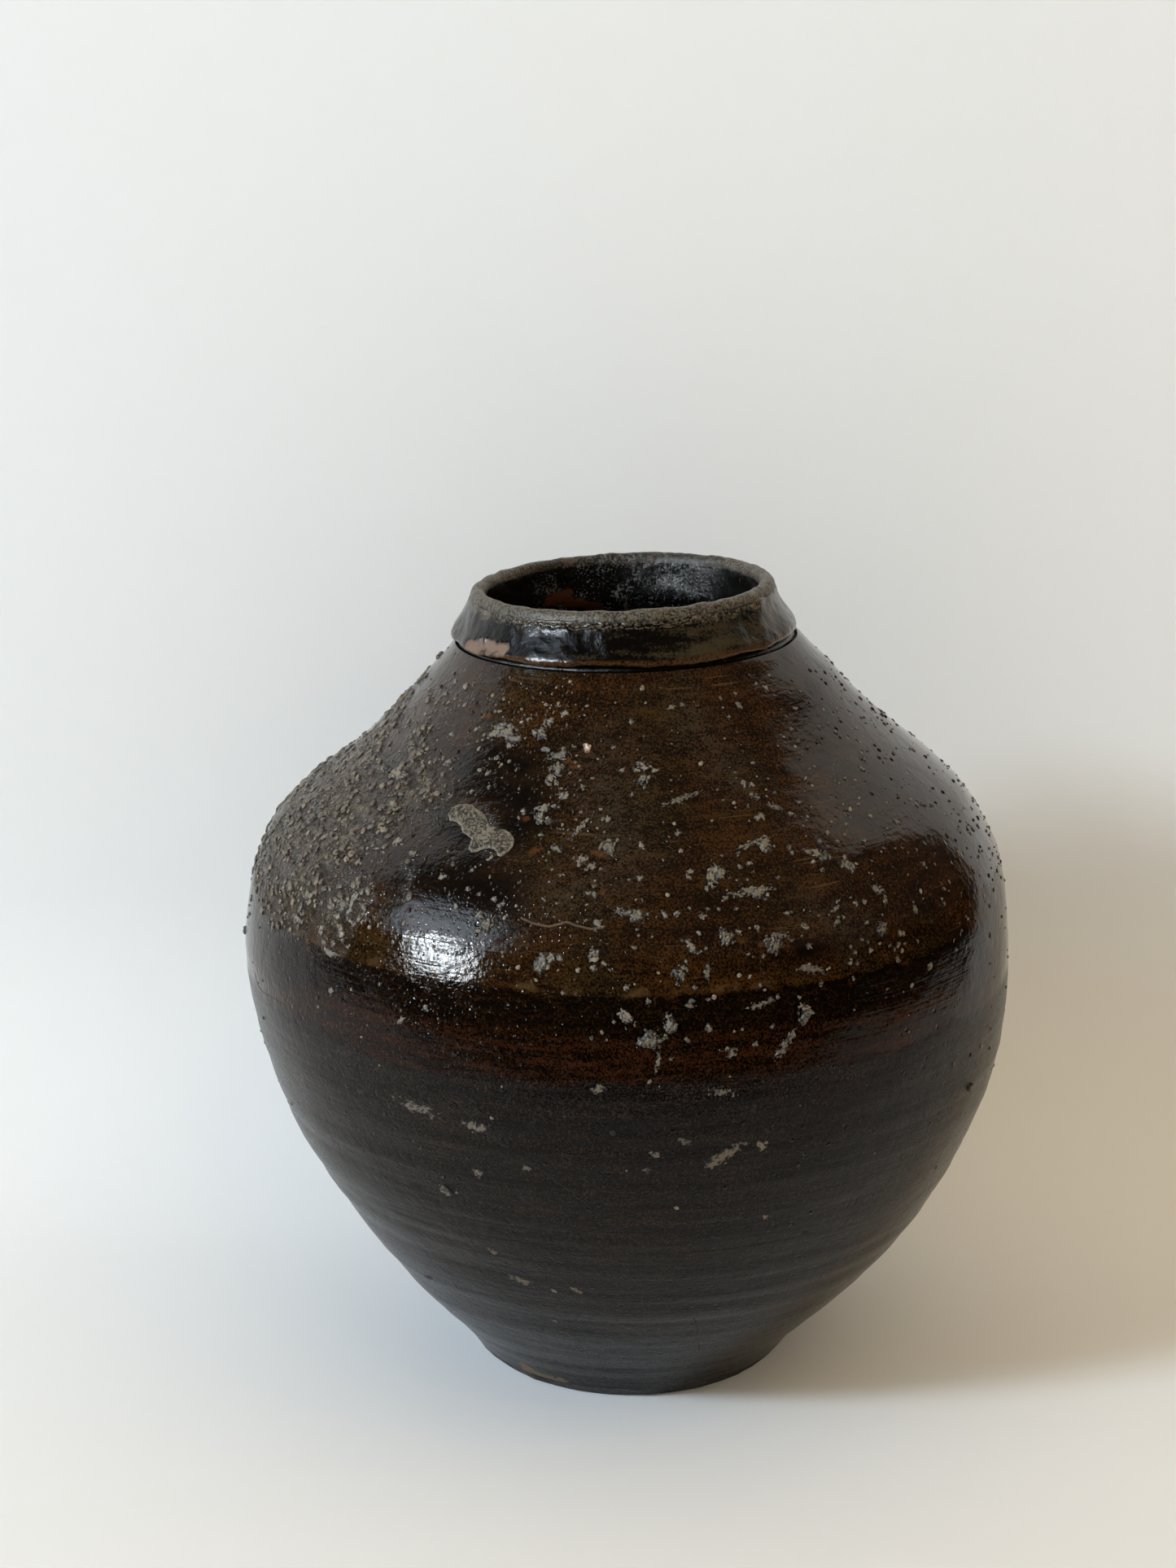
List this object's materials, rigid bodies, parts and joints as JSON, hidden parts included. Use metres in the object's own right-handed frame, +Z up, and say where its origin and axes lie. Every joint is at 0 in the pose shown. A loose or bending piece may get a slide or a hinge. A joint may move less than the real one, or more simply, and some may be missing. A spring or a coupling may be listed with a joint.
{
  "type": "jar",
  "caption": "Round-shouldered stoneware storage jar with a narrow foot and a low folded collar, coil-built and glazed inside and out.",
  "frame": {"origin": "centre of the foot's flat resting face, on the surface that the jar stands on", "axes": "+Z up along the jar's axis, out of the mouth; -Y is the front that the picture shows, with +X to its right"},
  "size_m": [0.2805, 0.2819, 0.2955],
  "materials": {
    "foot_clay": "matte",
    "wall_clay": "matte",
    "neck": "satin",
    "rim_band": "gloss",
    "outer_glaze": "gloss",
    "inner_glaze": "gloss",
    "kiln_grit": "matte"
  },
  "bodies": {
    "root": {"base_disc": "foot_clay", "foot_seam_coil": "wall_clay", "lower_wall": "wall_clay", "middle_wall": "wall_clay", "belly_wall": "wall_clay", "shoulder_wall": "wall_clay", "neck_ring": "neck", "rim_band": "rim_band", "outer_glaze": "outer_glaze", "inner_glaze": "inner_glaze", "kiln_grit": "kiln_grit"}
  },
  "joints": []
}
